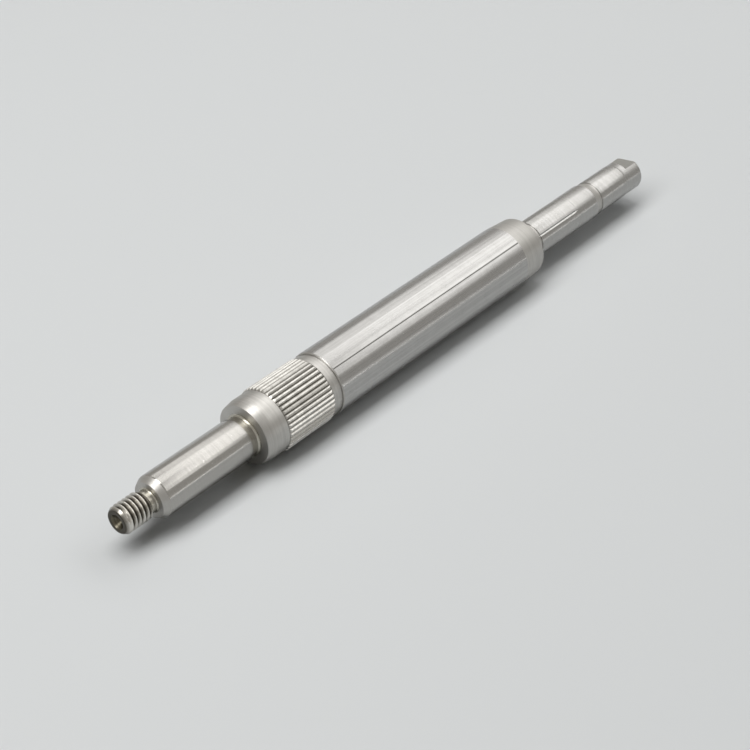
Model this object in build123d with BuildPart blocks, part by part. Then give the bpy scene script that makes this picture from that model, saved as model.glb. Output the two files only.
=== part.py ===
# A one-piece turned steel shaft: threaded end, front journal, knurled press fit, long body and
# a stepped tail with four staking grooves and a drive flat. Its axis is X, with the threaded
# end towards -X, and it lies on a surface with Z up. The origin is on the axis, at mid length.

import os
from math import radians, tan

from build123d import *

# ---- driving dimensions, millimetres and degrees ----

# threaded end
thread_diameter = 6.0
thread_crest_allowance = 0.03
thread_pitch = 1.0
thread_length = 6.6
thread_is_left_hand = True
thread_flank_angle = 30.0
end_face_diameter = 4.9
lead_length = 0.9
neck_diameter = 4.7
neck_length = 1.35
neck_fillet = 0.35

# centre holes, one in each end
centre_rim_diameter = 3.5
centre_cone_angle = 60.0
centre_pilot_diameter = 1.6
centre_pilot_length = 2.4

# front journal
journal_diameter = 8.9
journal_length = 22.7
journal_face_diameter = 7.5
journal_lead_length = 1.3
journal_lead_round = 1.5
collar_relief_diameter = 8.15
collar_relief_length = 2.0
collar_relief_fillet = 0.5

# collar and knurl, rolled on the same blank
blank_diameter = 13.45
collar_length = 5.55
collar_face_diameter = 12.75
collar_lead_length = 2.1
collar_edge_round = 0.12
knurl_diameter = 14.06
knurl_root_diameter = 13.34
knurl_length = 12.8
knurl_teeth = 43
knurl_groove_angle = 90.0
knurl_end_angle = 35.0
band_length = 1.75
ring_groove_diameter = 12.9
ring_groove_length = 0.55

# body
body_diameter = 14.0
body_length = 64.7
body_front_chamfer = 0.2
body_taper_length = 6.4
body_taper_drop = 0.5
body_end_round = 0.6

# tail seat with its staking grooves
seat_diameter = 8.32
seat_length = 20.0
seat_relief_diameter = 8.0
seat_relief_length = 2.7
staking_groove_count = 4
staking_groove_length = 13.2
staking_groove_width = 0.75
staking_groove_depth = 0.36
staking_groove_turn = 50.0

# tail end with its drive flat
tail_chamfer_length = 1.6
tail_relief_diameter = 7.6
tail_relief_length = 0.6
tail_relief_round = 0.15
tail_diameter = 7.9
tail_length = 9.2
tip_diameter = 7.74
tip_length = 5.9
tip_step_length = 0.4
tip_round = 0.25
flat_length = 4.1
flat_height = 3.0
flat_turn = 79.0

# ---- stations along the axis, from the threaded end face ----

overall_length = (
    thread_length + neck_length + journal_length + collar_relief_length + collar_length
    + knurl_length + band_length + ring_groove_length + body_length + seat_relief_length
    + seat_length + tail_chamfer_length + tail_relief_length + tail_length + tip_length
)
x_start = -overall_length / 2
x_neck = x_start + thread_length
x_journal = x_neck + neck_length
x_collar_relief = x_journal + journal_length
x_collar = x_collar_relief + collar_relief_length
x_knurl = x_collar + collar_length
x_band = x_knurl + knurl_length
x_ring_groove = x_band + band_length
x_body = x_ring_groove + ring_groove_length
x_body_end = x_body + body_length
x_seat = x_body_end + seat_relief_length
x_seat_end = x_seat + seat_length
x_tail_relief = x_seat_end + tail_chamfer_length
x_tail = x_tail_relief + tail_relief_length
x_tip = x_tail + tail_length
x_end = x_tip + tip_length

x_neck_middle = x_neck + neck_length / 2

thread_crest = thread_diameter / 2 - thread_crest_allowance
thread_depth = 0.6 * thread_pitch
thread_root_land = thread_pitch / 6
thread_run_out = thread_crest - neck_diameter / 2
knurl_run_out = (knurl_diameter - blank_diameter) / 2 / tan(radians(knurl_end_angle))

with BuildPart() as turned_shaft:
    # Screw thread: a V groove swept along a helix, round a rod that is longer than the thread.
    with BuildSketch(Plane.YZ.offset(x_start - 2 * thread_pitch)):
        Circle(thread_crest)
    extrude(amount=x_neck - x_start + 4 * thread_pitch)
    with BuildLine():
        thread_path = Helix(
            pitch=thread_pitch,
            height=x_neck - x_start + 2 * thread_pitch,
            radius=thread_crest,
            center=(x_start - thread_pitch, 0, 0),
            direction=(1, 0, 0),
            lefthand=thread_is_left_hand,
        )
    path_start = thread_path @ 0
    groove_top = 0.2 * thread_depth
    groove_half_width = thread_root_land / 2 + (thread_depth + groove_top) * tan(radians(thread_flank_angle))
    with BuildSketch(Plane(path_start, x_dir=(0, path_start.Y, path_start.Z), z_dir=thread_path % 0)):
        Polygon(
            (-thread_depth, -thread_root_land / 2),
            (-thread_depth, thread_root_land / 2),
            (groove_top, groove_half_width),
            (groove_top, -groove_half_width),
            align=None,
        )
    sweep(path=thread_path, is_frenet=True, mode=Mode.SUBTRACT)

    # The rod is trimmed to the thread's lead, its run-out and the first half of the neck.
    with BuildSketch(Plane.XZ):
        with BuildLine():
            Polyline(
                (x_start, 0),
                (x_start, end_face_diameter / 2),
                (x_start + lead_length, thread_crest),
                (x_neck - thread_run_out, thread_crest),
                (x_neck, neck_diameter / 2),
                (x_neck_middle, neck_diameter / 2),
                (x_neck_middle, 0),
                close=True,
            )
        make_face()
    revolve(axis=Axis.X, mode=Mode.INTERSECT)

    # The rest of the turned outline, from the neck to the tail, is half of the lengthwise section.
    with BuildSketch(Plane.XZ) as section:
        with BuildLine():
            Polyline(
                (x_neck_middle, 0),
                (x_neck_middle, neck_diameter / 2),
                (x_journal, neck_diameter / 2),
                (x_journal, journal_face_diameter / 2),
                (x_journal + journal_lead_length, journal_diameter / 2),
                (x_collar_relief, journal_diameter / 2),
                (x_collar_relief, collar_relief_diameter / 2),
                (x_collar, collar_relief_diameter / 2),
                (x_collar, collar_face_diameter / 2),
                (x_collar + collar_lead_length, blank_diameter / 2),
                (x_knurl, blank_diameter / 2),
                (x_knurl + knurl_run_out, knurl_diameter / 2),
                (x_band - knurl_run_out, knurl_diameter / 2),
                (x_band, blank_diameter / 2),
                (x_ring_groove, blank_diameter / 2),
                (x_ring_groove, ring_groove_diameter / 2),
                (x_body, ring_groove_diameter / 2),
                (x_body, body_diameter / 2 - body_front_chamfer),
                (x_body + body_front_chamfer, body_diameter / 2),
                (x_body_end - body_taper_length, body_diameter / 2),
                (x_body_end, body_diameter / 2 - body_taper_drop),
                (x_body_end, seat_relief_diameter / 2),
                (x_seat, seat_relief_diameter / 2),
                (x_seat, seat_diameter / 2),
                (x_seat_end, seat_diameter / 2),
                (x_tail_relief, tail_relief_diameter / 2),
                (x_tail, tail_relief_diameter / 2),
                (x_tail, tail_diameter / 2),
                (x_tip, tail_diameter / 2),
                (x_tip + tip_step_length, tip_diameter / 2),
                (x_end, tip_diameter / 2),
                (x_end, 0),
                close=True,
            )
        make_face()

        def corner(x, diameter):
            return section.vertices().sort_by_distance((x, diameter / 2, 0))[0]

        fillet(corner(x_journal, neck_diameter), radius=neck_fillet)
        fillet(corner(x_journal + journal_lead_length, journal_diameter), radius=journal_lead_round)
        fillet(corner(x_collar, collar_relief_diameter), radius=collar_relief_fillet)
        fillet(corner(x_collar, collar_face_diameter), radius=collar_edge_round)
        fillet(corner(x_body_end, body_diameter - 2 * body_taper_drop), radius=body_end_round)
        fillet(corner(x_tail_relief, tail_relief_diameter), radius=tail_relief_round)
        fillet(corner(x_end, tip_diameter), radius=tip_round)
    revolve(axis=Axis.X)

    # Centre holes: a pilot with a conical mouth, drilled into each end face.
    for face_plane in (Plane.YZ.offset(x_start).rotated((0, 180, 0)), Plane.YZ.offset(x_end)):
        with Locations(face_plane):
            CounterSinkHole(
                radius=centre_pilot_diameter / 2,
                counter_sink_radius=centre_rim_diameter / 2,
                depth=centre_pilot_length
                + (centre_rim_diameter - centre_pilot_diameter) / 2 / tan(radians(centre_cone_angle / 2)),
                counter_sink_angle=centre_cone_angle,
            )

    # Straight knurl: V grooves round the rolled band.
    knurl_depth = (knurl_diameter - knurl_root_diameter) / 2
    knurl_half_gap = knurl_depth * tan(radians(knurl_groove_angle / 2))
    with BuildSketch(Plane.YZ.offset(x_knurl)):
        with PolarLocations(knurl_root_diameter / 2, knurl_teeth):
            Polygon(
                (0, 0),
                (2 * knurl_depth, -2 * knurl_half_gap),
                (2 * knurl_depth, 2 * knurl_half_gap),
                align=None,
            )
    extrude(amount=knurl_length, mode=Mode.SUBTRACT)

    # Staking grooves: V notches along the tail seat, open into its relief.
    with BuildSketch(Plane.YZ.offset(x_body_end)):
        with PolarLocations(
            seat_diameter / 2 - staking_groove_depth, staking_groove_count, start_angle=staking_groove_turn
        ):
            Polygon(
                (0, 0),
                (2 * staking_groove_depth, -staking_groove_width),
                (2 * staking_groove_depth, staking_groove_width),
                align=None,
            )
    extrude(amount=seat_relief_length + staking_groove_length, mode=Mode.SUBTRACT)

    # Drive flat across the tip.
    with BuildSketch(Plane.YZ.offset(x_end - flat_length)):
        with Locations(Rotation(0, 0, flat_turn)):
            with Locations((flat_height, 0)):
                Rectangle(tip_diameter, 2 * tip_diameter, align=(Align.MIN, Align.CENTER))
    extrude(amount=flat_length, mode=Mode.SUBTRACT)

turned_shaft.part.label = "turned_shaft"

os.makedirs("parts", exist_ok=True)
export_step(turned_shaft.part, "parts/turned_shaft.step")
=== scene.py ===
# %% [markdown]
# # A turned steel shaft
#
# The object is a one-piece shaft of stainless steel, about as long as a pencil. It has a short
# screw thread, a smooth front journal, a collar with a straight knurl, a long drawn body and a
# slimmer tail with four staking grooves and a small drive flat. A CAD model gives its sizes.
# This lesson models its surface finely enough for close views and gives each stretch the finish
# that its making leaves.

from math import atan2, cos, pi, radians, sin, tan

import bmesh
import bpy
from mathutils import Matrix, Vector


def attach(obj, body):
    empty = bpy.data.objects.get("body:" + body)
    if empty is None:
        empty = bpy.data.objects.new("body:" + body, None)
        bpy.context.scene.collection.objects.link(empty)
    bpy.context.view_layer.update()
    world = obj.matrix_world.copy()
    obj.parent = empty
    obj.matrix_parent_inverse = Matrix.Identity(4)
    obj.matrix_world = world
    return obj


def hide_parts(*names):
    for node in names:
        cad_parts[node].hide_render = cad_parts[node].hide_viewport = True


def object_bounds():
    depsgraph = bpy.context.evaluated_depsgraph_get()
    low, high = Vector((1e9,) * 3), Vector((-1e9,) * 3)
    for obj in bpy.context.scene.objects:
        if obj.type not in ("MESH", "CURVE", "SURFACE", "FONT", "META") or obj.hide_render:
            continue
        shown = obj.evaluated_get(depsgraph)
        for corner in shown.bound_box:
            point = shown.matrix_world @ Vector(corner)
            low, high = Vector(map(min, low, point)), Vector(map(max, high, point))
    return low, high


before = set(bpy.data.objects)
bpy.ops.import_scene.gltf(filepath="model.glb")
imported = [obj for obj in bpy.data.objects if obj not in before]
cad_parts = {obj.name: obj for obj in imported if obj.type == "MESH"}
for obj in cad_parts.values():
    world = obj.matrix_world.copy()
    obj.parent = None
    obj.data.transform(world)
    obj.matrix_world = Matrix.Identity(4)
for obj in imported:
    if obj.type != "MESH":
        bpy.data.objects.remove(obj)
cad_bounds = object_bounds()
print("CAD pieces:", sorted(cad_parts))

# %% [markdown]
# ## The camera
#
# The shaft lies on a table and is seen over its threaded end. A long lens from some distance
# keeps the two ends nearly the same scale, as a product view does. The camera comes first,
# because every later choice of light and finish is judged through it.

# %% The camera
camera_data = bpy.data.cameras.new("camera")
camera_data.sensor_width = 36.0
camera_data.lens = 93.25
camera = bpy.data.objects.new("camera", camera_data)
bpy.context.scene.collection.objects.link(camera)
aim = Vector((-0.0160, -0.0064, 0.0))
distance = 0.3822
beside_axis, above_table = radians(41.08), radians(37.57)
towards_camera = Vector(
    (-cos(beside_axis) * cos(above_table), -sin(beside_axis) * cos(above_table), sin(above_table))
)
camera.matrix_world = (
    Matrix.Translation(aim + distance * towards_camera)
    @ towards_camera.to_track_quat("Z", "Y").to_matrix().to_4x4()
)
bpy.context.scene.camera = camera
print("camera at", tuple(round(value, 4) for value in camera.matrix_world.translation), "m")

# %% [markdown]
# ## Stations along the shaft
#
# A turner works from stations: distances along the axis where the diameter changes. The two end
# faces come from the CAD model's box, and each station between them is the one before it plus
# the length of a feature. Everything is in millimetres until a vertex is made.

# %% The stations
MM = 0.001
x_start = round(cad_bounds[0][0] / MM, 3)
x_end = round(cad_bounds[1][0] / MM, 3)
x_neck = x_start + 6.6
x_journal = x_neck + 1.35
x_collar_relief = x_journal + 22.7
x_collar = x_collar_relief + 2.0
x_knurl = x_collar + 5.55
x_band = x_knurl + 12.8
x_ring_groove = x_band + 1.75
x_body = x_ring_groove + 0.55
x_body_end = x_body + 64.7
x_seat = x_body_end + 2.7
x_seat_end = x_seat + 20.0
x_tail_relief = x_seat_end + 1.6
x_tail = x_tail_relief + 0.6
x_tip = x_tail + 9.2
x_flat = x_end - 4.1
print("overall length:", x_end - x_start, "mm; tip:", round(x_end - x_tip, 3), "mm")

# %% [markdown]
# A few stretches start or end in a slope: the journal's lead, the collar's lead, the chamfer at
# the front of the body, its taper at the rear, and the step down to the tip. Their inner ends are
# stations too, and at most of them the finish changes.

# %% The ends of the slopes
x_journal_lead = x_journal + 1.3
x_collar_lead = x_collar + 2.1
x_body_chamfer = x_body + 0.2
x_taper = x_body_end - 6.4
x_tip_step = x_tip + 0.4
print("body at full diameter:", round(x_taper - x_body_chamfer, 3), "mm")

# %% [markdown]
# Between two stations the shaft is a cylinder, so one radius describes it. The collar and the
# band beside the knurl share the radius of the blank that the knurl was rolled on.

# %% The radii
end_face_radius = 2.45
neck_radius = 2.35
journal_face_radius = 3.75
journal_radius = 4.45
collar_face_radius = 6.375
collar_relief_radius = 4.075
blank_radius = 6.725
knurl_root, knurl_crest = 6.67, 7.03
ring_groove_radius = 6.6
body_radius = 7.0
seat_relief_radius = 4.0
seat_radius = 4.16
tail_relief_radius = 3.8
tail_radius = 3.95
tip_radius = 3.87
taper_drop = 0.5
print("largest diameter:", 2 * knurl_crest, "mm")

# %% [markdown]
# ## Centre holes
#
# Each end face has a small drilled hole with a conical mouth, in which the lathe's centre holds
# the bar. Its depth follows from the angle of the cone and the two radii.

# %% The centre holes' sizes
centre_rim = 1.6
centre_pilot = 0.8
centre_half_angle = radians(30.0)
centre_cone = (centre_rim - centre_pilot) / tan(centre_half_angle)
centre_depth = centre_cone + 2.4
print("centre hole depth:", round(centre_depth, 2), "mm")

# %% [markdown]
# ## Turning an outline
#
# A lathe makes every round surface of the shaft, so the natural way in Blender is the same: half
# of the lengthwise section is drawn as a chain of edges, and the spin operator turns it about
# the axis. Corners that the tool leaves rounded are rounded in the chain first, by a vertex
# bevel. That is easier to control than a bevel on the finished mesh.

# %% A helper that rounds a corner of the chain


def round_corner(mesh, vertex, radius, segments):
    before, after = [edge.other_vert(vertex).co - vertex.co for edge in vertex.link_edges]
    turn = pi - before.angle(after)
    bmesh.ops.bevel(
        mesh,
        geom=[vertex],
        offset=radius * tan(turn / 2),
        offset_type="OFFSET",
        affect="VERTICES",
        segments=segments,
        profile=0.5,
        material=-1,
    )


# %% [markdown]
# The spin goes all the way round in equal steps. Their number is a multiple of the number of
# teeth of the knurl, so that every tooth is cut from the same facets. Spin can leave the faces
# pointing inwards, so the normals are recalculated once the first and last ring are merged.

# %% A helper that spins a chain into a closed mesh
KNURL_TEETH = 43
STEPS_PER_TOOTH = 6
SMALL_ROUND = 0.2


def turned(outline):
    """A closed mesh of revolution from corners of (station, radius, corner round)."""
    mesh = bmesh.new()
    chain = [mesh.verts.new((x * MM, 0.0, radius * MM)) for x, radius, _ in outline]
    for first, second in zip(chain, chain[1:]):
        mesh.edges.new((first, second))
    for vertex, (_, _, corner_round) in zip(chain, outline):
        if corner_round:
            segments = 3 if corner_round < SMALL_ROUND else 8
            round_corner(mesh, vertex, corner_round * MM, segments)
    bmesh.ops.spin(
        mesh,
        geom=mesh.verts[:] + mesh.edges[:],
        cent=(0, 0, 0),
        axis=(1, 0, 0),
        dvec=(0, 0, 0),
        angle=2 * pi,
        steps=KNURL_TEETH * STEPS_PER_TOOTH,
        use_merge=True,
        use_duplicate=False,
    )
    bmesh.ops.remove_doubles(mesh, verts=mesh.verts, dist=1e-7)
    bmesh.ops.recalc_face_normals(mesh, faces=mesh.faces)
    return mesh


print("steps round the axis:", KNURL_TEETH * STEPS_PER_TOOTH)

# %% [markdown]
# A bmesh is only a workbench. To be seen, its result goes into a mesh, and the mesh into an object
# that is linked to the scene.

# %% A helper that makes an object of a mesh


def new_object(name, mesh):
    data = bpy.data.meshes.new(name)
    mesh.to_mesh(data)
    mesh.free()
    made = bpy.data.objects.new(name, data)
    bpy.context.scene.collection.objects.link(made)
    print(name, "has", len(data.polygons), "faces")
    return made


# %% [markdown]
# ## The blank
#
# From the neck to the tail the shaft is one turned outline: reliefs where a grinding wheel needs
# room, leads that help a bearing or a bore to slide on, and a long body. Each sharp corner gets
# the small round that a deburring brush leaves, because that is where polished steel glints.

# %% The turned blank
EDGE = 0.06
knurl_end_angle = radians(35.0)
knurl_ramp = (knurl_crest - blank_radius) / tan(knurl_end_angle)
blank_start = x_neck - 0.3
blank_outline = [
    (blank_start, 0.0, 0),
    (blank_start, neck_radius, 0),
    (x_journal, neck_radius, 0.35),
    (x_journal, journal_face_radius, EDGE),
    (x_journal_lead, journal_radius, 1.5),
    (x_collar_relief, journal_radius, EDGE),
    (x_collar_relief, collar_relief_radius, 0.05),
    (x_collar, collar_relief_radius, 0.5),
    (x_collar, collar_face_radius, 0.12),
    (x_collar_lead, blank_radius, EDGE),
    (x_knurl, blank_radius, 0),
    (x_knurl + knurl_ramp, knurl_crest, 0),
    (x_band - knurl_ramp, knurl_crest, 0),
    (x_band, blank_radius, 0),
    (x_ring_groove, blank_radius, EDGE),
    (x_ring_groove, ring_groove_radius, 0),
    (x_body, ring_groove_radius, 0),
    (x_body, body_radius - (x_body_chamfer - x_body), 0),
    (x_body_chamfer, body_radius, EDGE),
    (x_taper, body_radius, 2.0),
    (x_body_end, body_radius - taper_drop, 0.6),
    (x_body_end, seat_relief_radius, 0),
    (x_seat, seat_relief_radius, 0),
    (x_seat, seat_radius, EDGE),
    (x_seat_end, seat_radius, EDGE),
    (x_tail_relief, tail_relief_radius, 0.15),
    (x_tail, tail_relief_radius, 0),
    (x_tail, tail_radius, EDGE),
    (x_tip, tail_radius, EDGE),
    (x_tip_step, tip_radius, EDGE),
    (x_end, tip_radius, 0.45),
    (x_end, centre_rim, EDGE),
    (x_end - centre_cone, centre_pilot, 0),
    (x_end - centre_depth, centre_pilot, 0),
    (x_end - centre_depth, 0.0, 0),
]
shaft = new_object("turned_shaft_surface", turned(blank_outline))

# %% [markdown]
# ## The screw thread
#
# A thread is one V groove that winds round a rod. Spinning the outline of a single pitch while
# it moves along the axis gives the whole helical surface, and the sense of the spin makes it
# left-hand. The rod is made longer than the thread at both ends and is trimmed later.

# %% One pitch, spun along the axis
thread_crest = 2.97
thread_pitch = 1.0
thread_depth = 0.6
flank_angle = radians(30.0)
root_land = thread_pitch / 6
flank = thread_depth * tan(flank_angle)
crest_land = thread_pitch - root_land - 2 * flank
steps_per_turn = 72
rod_turns = 12
# The groove's bottom passes the top of the shaft just at the end face.
rod_start = x_start - thread_pitch - crest_land - flank - root_land / 2
one_pitch = [
    (0.0, thread_crest),
    (crest_land, thread_crest),
    (crest_land + flank, thread_crest - thread_depth),
    (crest_land + flank + root_land, thread_crest - thread_depth),
    (thread_pitch, thread_crest),
]
rod = bmesh.new()
chain = [rod.verts.new(((rod_start + x) * MM, 0.0, radius * MM)) for x, radius in one_pitch]
for first, second in zip(chain, chain[1:]):
    rod.edges.new((first, second))
bmesh.ops.spin(
    rod,
    geom=rod.verts[:] + rod.edges[:],
    cent=(0, 0, 0),
    axis=(-1, 0, 0),
    dvec=(thread_pitch * MM / steps_per_turn, 0, 0),
    angle=2 * pi * rod_turns,
    steps=steps_per_turn * rod_turns,
    use_duplicate=False,
)
bmesh.ops.remove_doubles(rod, verts=rod.verts, dist=1e-6)
print("thread crest land:", round(crest_land, 3), "mm")

# %% [markdown]
# A die cuts its first turn only as deep as its lead allows. So the groove fades in over a third
# of a turn near the end face: each vertex is lifted back to the crest by a share that falls from
# one to nothing there.

# %% The first turn
groove_start = x_start + 0.72
fade_in = 0.33 * thread_pitch
for vertex in rod.verts:
    # The groove's bottom that is nearest to this vertex, at the same angle round the axis.
    turns_from_top = 0.25 - atan2(vertex.co.z, vertex.co.y) / (2 * pi)
    groove_bottom = x_start + turns_from_top * thread_pitch
    groove_bottom += thread_pitch * round((vertex.co.x / MM - groove_bottom) / thread_pitch)
    share = min(max((groove_bottom - groove_start) / fade_in, 0.0), 1.0)
    radius = Vector((vertex.co.y, vertex.co.z)).length / MM
    lifted = (thread_crest - (thread_crest - radius) * share) / radius
    vertex.co.y *= lifted
    vertex.co.z *= lifted
print("the groove is at full depth", round(groove_start + fade_in - x_start, 2), "mm in")

# %% [markdown]
# The rod is then cut off square at both ends and closed, a little outside the thread, so that the
# next cut always has steel to cut.

# %% The rod's ends
spare = 0.5
for station, side in ((x_start - spare, -1), (x_neck + spare, 1)):
    bmesh.ops.bisect_plane(
        rod,
        geom=rod.verts[:] + rod.edges[:] + rod.faces[:],
        plane_co=(station * MM, 0, 0),
        plane_no=(side, 0, 0),
        clear_outer=True,
    )
    rim = [
        edge
        for edge in rod.edges
        if edge.is_boundary and all(abs(end.co.x - station * MM) < 1e-7 for end in edge.verts)
    ]
    bmesh.ops.holes_fill(rod, edges=rim)
bmesh.ops.recalc_face_normals(rod, faces=rod.faces)
print("open edges of the rod:", sum(not edge.is_manifold for edge in rod.edges))
thread = new_object("thread", rod)

# %% [markdown]
# ## Cutting one shape with another
#
# The thread, the knurl, the grooves and the flat are cut into round stock, as a die, a rolling
# tool and a cutter do. A Boolean modifier does the same here. It is applied at once, so that the
# finished piece is a plain closed mesh with nothing live in it.

# %% A helper that applies a Boolean


def combine(piece, tool, operation):
    step = piece.modifiers.new(operation.lower(), "BOOLEAN")
    step.operation = operation
    step.solver = "EXACT"
    step.object = tool
    bpy.context.view_layer.update()
    evaluated = piece.evaluated_get(bpy.context.evaluated_depsgraph_get())
    result = bpy.data.meshes.new_from_object(evaluated)
    piece.modifiers.clear()
    piece.data = result
    bpy.data.objects.remove(tool)
    print(operation.lower(), "leaves", len(result.polygons), "faces")


# %% [markdown]
# The threaded rod is trimmed by a turned shape that has the thread's lead at the nose, its
# run-out at the neck and the centre hole. Then it joins the blank. The two overlap inside the
# neck, so that the union has no faces that lie on each other.

# %% The lead, the run-out and the centre hole
thread_lead = 0.9
overlap = 0.15
thread_envelope = new_object(
    "thread_envelope",
    turned(
        [
            (x_start + centre_depth, 0.0, 0),
            (x_start + centre_depth, centre_pilot, 0),
            (x_start + centre_cone, centre_pilot, 0),
            (x_start, centre_rim, EDGE),
            (x_start, end_face_radius, 0.3),
            (x_start + thread_lead, thread_crest, 0),
            (x_neck - (thread_crest - neck_radius), thread_crest, 0),
            (x_neck + overlap, neck_radius - overlap, 0),
            (x_neck + overlap, 0.0, 0),
        ]
    ),
)
combine(thread, thread_envelope, "INTERSECT")
combine(shaft, thread, "UNION")

# %% [markdown]
# ## A cutter that is repeated round the axis
#
# The knurl and the staking grooves are both V notches along the shaft, evenly spaced round it.
# One prism is extruded from the section of a notch, turned to its place, and copied round the
# axis by a spin with duplicates. A groove may run out: then the last stretch of its prism rises
# out of the steel.

# %% A helper for V cutters


def v_cutters(name, half_section, start, end, count, turn, rise=(0.0, 0.0)):
    """Prisms with a section of (half width, radius) corners, and a run-out of (length, height)."""
    cutter = bmesh.new()
    left = [(-across, out) for across, out in half_section if across]
    corners = left + half_section[::-1]
    section = cutter.faces.new(
        [cutter.verts.new((start * MM, -across * MM, out * MM)) for across, out in corners]
    )
    first_end = section
    for length, height in ((end - start, 0.0), rise):
        if length:
            grown = bmesh.ops.extrude_face_region(cutter, geom=[section])["geom"]
            # The face that was extruded stays, and it would be a wall inside the prism.
            if section.is_valid and section is not first_end:
                bmesh.ops.delete(cutter, geom=[section], context="FACES_ONLY")
            section = [item for item in grown if isinstance(item, bmesh.types.BMFace)][0]
            bmesh.ops.translate(cutter, verts=section.verts[:], vec=(length * MM, 0, height * MM))
    print(name, "open edges:", sum(not edge.is_manifold for edge in cutter.edges))
    # Angles are counted from +Y towards +Z, and the section was drawn on the +Z side.
    to_place = Matrix.Rotation(radians(turn - 90), 3, "X")
    bmesh.ops.rotate(cutter, verts=cutter.verts, cent=(0, 0, 0), matrix=to_place)
    bmesh.ops.spin(
        cutter,
        geom=cutter.verts[:] + cutter.edges[:] + cutter.faces[:],
        cent=(0, 0, 0),
        axis=(1, 0, 0),
        dvec=(0, 0, 0),
        angle=2 * pi * (count - 1) / count,
        steps=count - 1,
        use_duplicate=True,
    )
    bmesh.ops.recalc_face_normals(cutter, faces=cutter.faces)
    return new_object(name, cutter)


# %% [markdown]
# ## The knurl
#
# A straight knurl is rolled: each tooth of a hardened wheel presses one V groove into the blank,
# and the steel flows up between them. The grooves are plain Vs of 90 degrees. Near the crest
# the section opens wider, which leaves soft tops on the teeth, as rolling does.

# %% The knurl
knurl_depth = knurl_crest - knurl_root
soft_top = 0.05
knurl_section = [
    (0.0, knurl_root),
    (knurl_depth - soft_top, knurl_crest - soft_top),
    (knurl_depth, knurl_crest - 0.3 * soft_top),
    (knurl_depth + 0.8 * soft_top, knurl_crest + 0.2 * soft_top),
]
knurl_cutter = v_cutters("knurl_cutter", knurl_section, x_knurl, x_band, KNURL_TEETH, 0.0)
combine(shaft, knurl_cutter, "DIFFERENCE")

# %% [markdown]
# ## The staking grooves
#
# Four notches run along the tail seat. A part pressed on here is staked into them, so that it
# can't turn. They open into the relief beside the body and run out at their other end.

# %% The staking grooves
groove_count = 4
groove_turn = 50.0
groove_depth = 0.2
groove_half_width = 0.3
groove_start_in_relief = x_body_end + 0.5
groove_end = x_seat + 12.3
groove_run_out = 1.6
staking_section = [
    (0.0, seat_radius - groove_depth),
    (2 * groove_half_width, seat_radius + groove_depth),
]
staking_cutter = v_cutters(
    "staking_cutter",
    staking_section,
    groove_start_in_relief,
    groove_end,
    groove_count,
    groove_turn,
    rise=(groove_run_out, 1.5 * groove_depth),
)
combine(shaft, staking_cutter, "DIFFERENCE")

# %% [markdown]
# ## The drive flat
#
# One flat is milled across the tip, so that a lever or a coupling can't slip round. A block
# stands for the path of the end mill. Its sharp inner corner leaves the small step at the end of
# the flat.

# %% The drive flat
flat_height = 3.0
flat_turn = radians(79.0)
block_size = 10.0
flat_block = bmesh.new()
bmesh.ops.create_cube(flat_block, size=block_size * MM)
block_centre = (x_flat + block_size / 2, flat_height + block_size / 2, 0.0)
bmesh.ops.translate(flat_block, verts=flat_block.verts, vec=Vector(block_centre) * MM)
bmesh.ops.rotate(
    flat_block, verts=flat_block.verts, cent=(0, 0, 0), matrix=Matrix.Rotation(flat_turn, 3, "X")
)
combine(shaft, new_object("flat_block", flat_block), "DIFFERENCE")

# %% [markdown]
# ## Finishes
#
# All of the shaft is one stainless steel, a neutral to slightly warm grey metal. What differs is
# how each stretch was made: the body is cold-drawn bar, the journals and the seat are ground, the
# collar and the tapers are turned, the knurl is rolled, the thread is cut and the flat is
# milled. Each of these gets its own material from the same few patterns.
#
# Colours are written as sRGB hex values, as a designer picks them, and one function turns them
# into the linear values that the shader works with.

# %% A helper for colours


def linear(hex_colour):
    channels = [int(hex_colour[i:i + 2], 16) / 255 for i in (1, 3, 5)]
    straight = [c / 12.92 if c <= 0.04045 else ((c + 0.055) / 1.055) ** 2.4 for c in channels]
    return (*straight, 1.0)


print("a mid steel grey is", [round(value, 3) for value in linear("#B0AFAD")[:3]])

# %% [markdown]
# A material is a tree of nodes. One small function adds a node: it sets the node's own settings,
# and for each input it either makes a link, when the value is another node's socket, or sets a
# constant.

# %% A helper that adds a node


def add(tree, kind, settings=None, **inputs):
    """A new node; an input is named by its label, or by _ and its number."""
    node = tree.nodes.new(kind)
    for key, value in (settings or {}).items():
        setattr(node, key, value)
    for key, value in inputs.items():
        socket = node.inputs[int(key[1:])] if key[0] == "_" else node.inputs[key.replace("_", " ")]
        if isinstance(value, bpy.types.NodeSocket):
            tree.links.new(value, socket)
        else:
            socket.default_value = value
    return node


# %% [markdown]
# ## Tool marks
#
# Every tool leaves lines: round the shaft from turning and grinding, along it from drawing. A
# noise texture on Object coordinates, squeezed in one direction by a Mapping node, gives such
# lines at a real spacing. A second, even noise adds the faint blotches of handling. The real
# lines are a few hundredths of a millimetre apart, too fine to show from here, so each finish is
# drawn as coarse as it needs to be seen.

# %% The pattern of the tool marks


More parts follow.
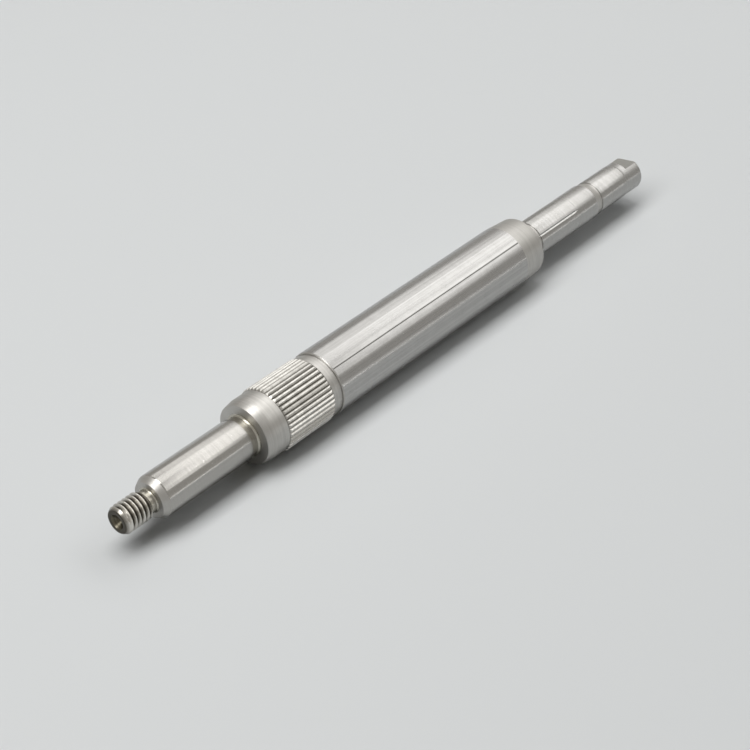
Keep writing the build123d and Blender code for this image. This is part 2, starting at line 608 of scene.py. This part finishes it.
def tool_marks(tree, place, spacing, along):
    """The lines alone, and the lines with blotches, for a line spacing in millimetres."""
    close = 1 / (spacing * MM)
    length_to_spacing = 150 if along else 30
    far = close / length_to_spacing
    squeeze = (far, close, close) if along else (close, far, far)
    squeezed = add(tree, "ShaderNodeMapping", Vector=place, Scale=squeeze)
    lines = add(
        tree,
        "ShaderNodeTexNoise",
        Vector=squeezed.outputs[0],
        Scale=1.0,
        Detail=3.0,
        Roughness=0.6,
    )
    blotch_size = 2.2
    blotch_share = 0.4
    blotches = add(
        tree,
        "ShaderNodeTexNoise",
        Vector=place,
        Scale=1 / (blotch_size * MM),
        Detail=4.0,
        Roughness=0.65,
    )
    both = add(
        tree,
        "ShaderNodeMath",
        {"operation": "MULTIPLY_ADD"},
        _0=blotches.outputs[0],
        _1=blotch_share,
        _2=lines.outputs[0],
    )
    return lines.outputs[0], both.outputs[0]


# %% [markdown]
# A mix of two colours is needed again and again, and its colour sockets have to be found by
# number, because the node has a hidden set for each kind of value. So the choice of sockets is
# written once.

# %% A helper that mixes two tones


def blend_tones(tree, share, first, second):
    """The colour that goes from the first tone to the second; a tone is a hex value or a socket."""
    tones = {
        key: linear(tone) if isinstance(tone, str) else tone
        for key, tone in (("_6", first), ("_7", second))
    }
    return add(tree, "ShaderNodeMix", {"data_type": "RGBA"}, Factor=share, **tones).outputs[2]


# %% [markdown]
# ## Painted shade in the recesses
#
# The bottom of the thread and of the knurl's grooves is painted darker than the crests: painted
# shade where the grooves keep the light out. On a turned part the depth of a recess is simply a
# radius, so the length of the Object coordinates across the axis tells how deep a point lies.

# %% The painted shade in the recesses


def shaded_recess(tree, place, colour, bottom, top, recess_shade):
    """The colour with a painted shade that fades from the bottom radius to the top radius."""
    across = add(
        tree, "ShaderNodeVectorMath", {"operation": "MULTIPLY"}, _0=place, _1=(0.0, 1.0, 1.0)
    )
    radius = add(tree, "ShaderNodeVectorMath", {"operation": "LENGTH"}, _0=across.outputs[0])
    height = add(
        tree,
        "ShaderNodeMapRange",
        Value=radius.outputs["Value"],
        From_Min=bottom * MM,
        From_Max=top * MM,
    )
    return blend_tones(tree, height.outputs[0], recess_shade, colour)


# %% [markdown]
# ## A dark line
#
# One straight dark line runs along the whole body. It lies at one angle round the axis, and the
# arctangent of the two coordinates across the axis gives that angle at every point.

# %% The dark line


def with_dark_line(tree, place, colour, angle, half_width, radius, line):
    """The colour with one soft-edged line along the shaft, at an angle from +Y towards +Z."""
    parts = add(tree, "ShaderNodeSeparateXYZ", Vector=place)
    round_axis = add(
        tree,
        "ShaderNodeMath",
        {"operation": "ARCTAN2"},
        _0=parts.outputs["Z"],
        _1=parts.outputs["Y"],
    )
    aside = add(
        tree,
        "ShaderNodeMath",
        {"operation": "SUBTRACT"},
        _0=round_axis.outputs[0],
        _1=radians(angle),
    )
    off = add(tree, "ShaderNodeMath", {"operation": "ABSOLUTE"}, _0=aside.outputs[0])
    clear = add(
        tree,
        "ShaderNodeMapRange",
        Value=off.outputs[0],
        From_Min=0.5 * half_width / radius,
        From_Max=1.5 * half_width / radius,
    )
    return blend_tones(tree, clear.outputs[0], line, colour)


# %% [markdown]
# ## Nicks
#
# Parts that lie together in a tray knock small bright nicks into each other. A Voronoi texture
# has one point in each cell, and the space close to that point is a nick. A broad noise keeps
# them in loose groups, with most of the surface clean.

# %% The nicks


def nicked(tree, place, colour):
    cell_size = 0.9
    nick_radius = 0.065
    group_size = 6.0
    group_threshold = 0.6
    cells = add(tree, "ShaderNodeTexVoronoi", Vector=place, Scale=1 / (cell_size * MM))
    groups = add(
        tree, "ShaderNodeTexNoise", Vector=place, Scale=1 / (group_size * MM), Detail=2.0
    )
    inside = add(
        tree,
        "ShaderNodeMath",
        {"operation": "LESS_THAN"},
        _0=cells.outputs["Distance"],
        _1=nick_radius / cell_size,
    )
    grouped = add(
        tree,
        "ShaderNodeMath",
        {"operation": "GREATER_THAN"},
        _0=groups.outputs[0],
        _1=group_threshold,
    )
    share = add(
        tree,
        "ShaderNodeMath",
        {"operation": "MULTIPLY"},
        _0=inside.outputs[0],
        _1=grouped.outputs[0],
    )
    return blend_tones(tree, share.outputs[0], colour, "#D2D0CC")


# %% [markdown]
# ## Bare steel
#
# The patterns come together in one function. The tool marks choose between a light and a dark
# tone, vary the roughness a little, and give a very shallow relief. Fine parallel lines also
# stretch the reflections across themselves. That is anisotropy, and its tangent is the shaft's
# axis, set as a constant direction. The index of refraction stays as it is, since the colour
# alone sets what a metal reflects.

# %% The steel


def steel(
    name,
    light,
    dark,
    roughness,
    spacing,
    depth,
    anisotropy=0.0,
    along=False,
    recess=None,
    dark_line=None,
):
    """Bare steel in two tones; the spacing and depth of its tool marks are in millimetres.

    A recess is (bottom radius, top radius, painted shade); a dark line is (angle, half width,
    radius, line).
    """
    swing = 0.15
    material = bpy.data.materials.new(name)
    material.use_nodes = True
    tree = material.node_tree
    shader = tree.nodes["Principled BSDF"]
    shader.inputs["Metallic"].default_value = 1.0
    place = add(tree, "ShaderNodeTexCoord").outputs["Object"]
    lines, marks = tool_marks(tree, place, spacing, along)
    # The marks run from about a half to a little under one.
    share = add(tree, "ShaderNodeMapRange", Value=marks, From_Min=0.5, From_Max=0.9)
    colour = blend_tones(tree, share.outputs[0], dark, light)
    # A recess is painted darker towards its bottom, as painted shade.
    if recess:
        colour = shaded_recess(tree, place, colour, *recess)
    if dark_line:
        colour = with_dark_line(tree, place, colour, *dark_line)
    tree.links.new(nicked(tree, place, colour), shader.inputs["Base Color"])
    matt = add(
        tree,
        "ShaderNodeMapRange",
        Value=marks,
        From_Min=0.45,
        From_Max=0.95,
        To_Min=roughness * (1 + swing),
        To_Max=roughness * (1 - swing),
    )
    tree.links.new(matt.outputs[0], shader.inputs["Roughness"])
    relief = add(tree, "ShaderNodeBump", Height=lines, Distance=depth * MM, Strength=1.0)
    tree.links.new(relief.outputs[0], shader.inputs["Normal"])
    if anisotropy:
        shader.inputs["Anisotropic"].default_value = anisotropy
        axis_way = add(tree, "ShaderNodeCombineXYZ", X=1.0)
        tree.links.new(axis_way.outputs[0], shader.inputs["Tangent"])
    print(name, "has", len(tree.nodes), "nodes")
    return material


# %% [markdown]
# ## The body, the journals and the seat
#
# These are the smooth stretches, and most of what the eye meets. The difference between them is
# in how crisp the edge of a reflection is, and in which way the fine lines run.

# %% The smooth finishes

# Cold-drawn bar: long streaks of slightly different brightness, and one dark line along it.
drawn = steel(
    "drawn_stainless_steel",
    light="#AFAEAC",
    dark="#9F9E9C",
    roughness=0.25,
    spacing=0.45,
    depth=0.0012,
    anisotropy=0.4,
    along=True,
    dark_line=(125.0, 0.11, body_radius, "#4A4946"),
)
# Ground and polished for a bearing: the crispest reflections, and almost no lines.
polished = steel(
    "polished_stainless_steel",
    light="#ABA9A5",
    dark="#A7A5A1",
    roughness=0.21,
    spacing=0.3,
    depth=0.0002,
    anisotropy=0.7,
)
# Ground only: satin, with soft edges to its reflections.
ground = steel(
    "ground_stainless_steel",
    light="#AAA9A7",
    dark="#A4A3A0",
    roughness=0.25,
    spacing=0.3,
    depth=0.0003,
    anisotropy=0.75,
)

# %% [markdown]
# ## The cut and rolled stretches
#
# Turning leaves a broad satin shine, and a form tool in a narrow relief leaves fine rings with a
# yellowish film of oil. Rolling leaves pressed, bright crests, and the grooves between them are
# painted darker as painted shade. A die tears the steel a little, so that its crests glitter.

# %% The turned finishes

# Turned: matt satin with faint rings, so that a highlight spreads wide.
turned_satin = steel(
    "turned_stainless_steel",
    light="#B5B3AF",
    dark="#AAA8A4",
    roughness=0.42,
    spacing=0.35,
    depth=0.0012,
    anisotropy=0.4,
)
# Form-turned reliefs: fine rings under a thin, warm film.
undercut = steel(
    "undercut_stainless_steel",
    light="#BDBAB1",
    dark="#A19D91",
    roughness=0.26,
    spacing=0.4,
    depth=0.003,
    anisotropy=0.3,
)

# %% [markdown]
# The knurl and the thread are made of crests and recesses, and the painted shade between the
# crests is what makes them read as teeth and as turns.

# %% The rolled and the thread-cut finish

# Rolled: bright crests, and grooves painted dark towards their bottom as painted shade.
rolled = steel(
    "rolled_stainless_steel",
    light="#C4C2BD",
    dark="#B1AFAA",
    roughness=0.28,
    spacing=0.6,
    depth=0.002,
    recess=(knurl_root, 6.88, "#4E4B44"),
)
# Cut by a die: bright torn crests over roots with a brownish painted shade.
threaded = steel(
    "thread_cut_stainless_steel",
    light="#DAD7D1",
    dark="#BAB6AE",
    roughness=0.25,
    spacing=0.3,
    depth=0.003,
    recess=(thread_crest - thread_depth, 2.92, "#47433B"),
)

# %% [markdown]
# The two smallest places have no sheen in one direction. An end mill leaves short marks that
# cross each other, and the inside of a drilled hole is rough and painted dark as painted shade.

# %% The milled finish and the painted shade of the drilled holes

# Milled: an even matt grey with short marks.
milled = steel(
    "milled_stainless_steel",
    light="#A7A6A2",
    dark="#9C9B97",
    roughness=0.35,
    spacing=0.3,
    depth=0.002,
)
# Drilled: a rough hole, painted a dark brownish grey as painted shade.
drilled_hole_shade = steel(
    "drilled_hole_painted_shade",
    light="#6E6A5E",
    dark="#454136",
    roughness=0.32,
    spacing=0.2,
    depth=0.003,
)

# %% [markdown]
# ## Which face has which finish
#
# The finishes change at the stations, so each face finds its finish by where its middle lies
# along the axis. Two places differ: the inside of the centre holes, and the flat, which is known
# by the direction that it faces.

# %% The stretches and their finishes
stretches = [
    (x_start, threaded),
    (x_neck, undercut),
    (x_journal, turned_satin),
    (x_journal_lead, polished),
    (x_collar_relief, undercut),
    (x_collar, turned_satin),
    (x_knurl, rolled),
    (x_band, turned_satin),
    (x_body_chamfer, drawn),
    (x_taper, turned_satin),
    (x_seat, ground),
    (x_seat_end, turned_satin),
    (x_tail, ground),
]
finishes = [drawn, polished, ground, turned_satin, undercut, rolled, threaded, milled, drilled_hole_shade]
shaft.data.materials.clear()
for finish in finishes:
    shaft.data.materials.append(finish)
print("finishes:", len(finishes), "on", len(stretches), "stretches")

# %% [markdown]
# The end faces lie exactly on the first and the last station, and a rounding error can put any
# other face a hair off its own. So the comparisons have a small tolerance, in millimetres.

# %% A helper that finds a face's finish
flat_way = Vector((0.0, cos(flat_turn), sin(flat_turn)))
tolerance = 0.001


def finish_of(face):
    centre = face.calc_center_median() / MM
    between_ends = x_start + tolerance < centre.x < x_end - tolerance
    # Faces inside the centre holes get the painted shade of the hole.
    if between_ends and Vector((centre.y, centre.z)).length < centre_rim:
        return drilled_hole_shade
    on_flat = centre.x > x_flat and centre.dot(flat_way) < flat_height + 0.01
    if on_flat and face.normal.dot(flat_way) > 0.999:
        return milled
    return [finish for start, finish in stretches if start <= centre.x + 0.1 * tolerance][-1]


# %% [markdown]
# Smooth shading makes the many facets of the spin look round. Edges that turn by more than a
# small angle are marked sharp, so that shoulders and grooves stay crisp. The Booleans leave some
# corners that nearly coincide, and they are merged first. The same cell checks that the piece is
# closed.

# %% Finish and shading of each face
sliver = 0.0005
sharp_from = radians(24.0)
shape = bmesh.new()
shape.from_mesh(shaft.data)
bmesh.ops.remove_doubles(shape, verts=shape.verts, dist=sliver * MM)
bmesh.ops.dissolve_degenerate(shape, edges=shape.edges, dist=sliver * MM)
for face in shape.faces:
    face.smooth = True
    face.material_index = finishes.index(finish_of(face))
for edge in shape.edges:
    edge.smooth = edge.is_manifold and edge.calc_face_angle(0.0) < sharp_from
print("open edges:", sum(not edge.is_manifold for edge in shape.edges))
shape.to_mesh(shaft.data)
shape.free()

# %% [markdown]
# The finished surface takes the place of the CAD solid and moves with it. The shaft has no joint,
# so there is only one body to ride on.

# %% The surface on its body
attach(shaft, "root")
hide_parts("turned_shaft")
print("surface rides on root")

# %% [markdown]
# ## The room
#
# The room is dark for the light that it gives, so that the shadow under the shaft stays deep. But
# what the camera, the polished metal or a glass would see of it is a pale grey. The Light Path
# node tells these rays apart from the ones that only carry light.

# %% A helper for the rays that see the room
ROOM_GREY = "#B8B6B2"
ROOM_STRENGTH = 1.15
ROOM_LIGHT = 0.04


def seen_directly(tree):
    """One for a ray from the camera, or from a mirror-like or clear surface, and else nothing."""
    ray = add(tree, "ShaderNodeLightPath")
    seen = ray.outputs["Is Camera Ray"]
    for other in ("Is Glossy Ray", "Is Transmission Ray"):
        either = add(
            tree, "ShaderNodeMath", {"operation": "MAXIMUM"}, _0=seen, _1=ray.outputs[other]
        )
        seen = either.outputs[0]
    return seen


# %% [markdown]
# The room is the scene's world: one even colour all round, whose strength depends on the ray. Its
# grey is also what fills the dark band on the steel.

# %% The room
room = bpy.data.worlds.new("room")
room.use_nodes = True
sky = room.node_tree
background = sky.nodes["Background"]
background.inputs["Color"].default_value = linear(ROOM_GREY)
strength = add(
    sky,
    "ShaderNodeMapRange",
    Value=seen_directly(sky),
    To_Min=ROOM_LIGHT,
    To_Max=ROOM_STRENGTH,
)
sky.links.new(strength.outputs[0], background.inputs["Strength"])
bpy.context.scene.world = room
bpy.context.scene.view_settings.view_transform = "Standard"
print("room nodes:", len(sky.nodes))

# %% [markdown]
# ## The table
#
# A plain pale card lies under the shaft. Steel mirrors whatever is round it, so the card is also
# the light grey that fills the lower half of every cylinder. It is matt, to keep the contact
# shadow soft and free of a mirror image.

# %% The table
table_half_size = 3.0
underside = cad_bounds[0][2]
table_mesh = bmesh.new()
bmesh.ops.create_grid(table_mesh, x_segments=1, y_segments=1, size=table_half_size)
bmesh.ops.translate(table_mesh, verts=table_mesh.verts, vec=(0, 0, underside))
table = new_object("table", table_mesh)
card = bpy.data.materials.new("matt_grey_card")
card.use_nodes = True
paper = card.node_tree
paper_shader = paper.nodes["Principled BSDF"]
paper_shader.inputs["Base Color"].default_value = linear("#DADCDC")
paper_shader.inputs["Roughness"].default_value = 0.8
paper_shader.inputs["Specular IOR Level"].default_value = 0.2
table.data.materials.append(card)

# %% [markdown]
# The lamps don't reach the far part of the card, which would end in a dark band. So it fades into
# the grey of the room there. The fade works on the distance from the middle, and only for rays
# that see the card, so it adds no light to the shaft.

# %% The card's fade into the room
fade_start, fade_end = 0.3, 0.9
paper_place = add(paper, "ShaderNodeTexCoord").outputs["Object"]
away = add(paper, "ShaderNodeVectorMath", {"operation": "LENGTH"}, _0=paper_place)
fade = add(
    paper,
    "ShaderNodeMapRange",
    {"interpolation_type": "SMOOTHSTEP"},
    Value=away.outputs["Value"],
    From_Min=fade_start,
    From_Max=fade_end,
)
faded = add(
    paper, "ShaderNodeMath", {"operation": "MULTIPLY"}, _0=fade.outputs[0], _1=seen_directly(paper)
)
room_grey = add(paper, "ShaderNodeEmission", Color=linear(ROOM_GREY), Strength=ROOM_STRENGTH)
surface = add(paper, "ShaderNodeMixShader", _0=faded.outputs[0])
paper.links.new(paper_shader.outputs[0], surface.inputs[1])
paper.links.new(room_grey.outputs[0], surface.inputs[2])
paper.links.new(surface.outputs[0], paper.nodes["Material Output"].inputs["Surface"])
print("card nodes:", len(paper.nodes))

# %% [markdown]
# ## The light
#
# A mirror-like cylinder shows its lamps as long bands, so the lamps are placed by what they draw
# on it. A wide panel overhead draws the broad bright band, and a narrower one just below it makes
# the band's middle brighter than its edges. The dark band beside it is the room above the
# horizon. A low, thin strip far away draws the fine bright line where the table ends. The key
# panel, over the threaded end, lights the faces that look that way and the table round it.

# %% The lamps


def softbox(name, centre, size, power, tilt=0.0):
    """A panel that shines down; a tilt of 90 degrees makes it shine towards +Y."""
    lamp_data = bpy.data.lights.new(name, "AREA")
    lamp_data.shape = "RECTANGLE"
    lamp_data.size, lamp_data.size_y = size
    lamp_data.energy = power
    lamp = bpy.data.objects.new(name, lamp_data)
    bpy.context.scene.collection.objects.link(lamp)
    lamp.matrix_world = Matrix.Translation(centre) @ Matrix.Rotation(radians(tilt), 4, "X")
    print(name, "gives", power, "W")


softbox("wide_panel", centre=(0.75, 0.12, 0.8), size=(0.7, 2.36), power=5.8)
softbox("inner_panel", centre=(0.75, -0.12, 0.79), size=(0.7, 1.0), power=1.4)
softbox("key", centre=(-0.5, 0.12, 0.8), size=(1.5, 0.45), power=8.6)
softbox("horizon", centre=(1.0, -1.2, 0.005), size=(1.6, 0.02), power=0.5, tilt=90.0)

# %% [markdown]
#
# The scene is updated last, so that every object's place is current. The surface has to stay
# within the CAD model's box.

# %% The scene brought up to date
bpy.context.view_layer.update()
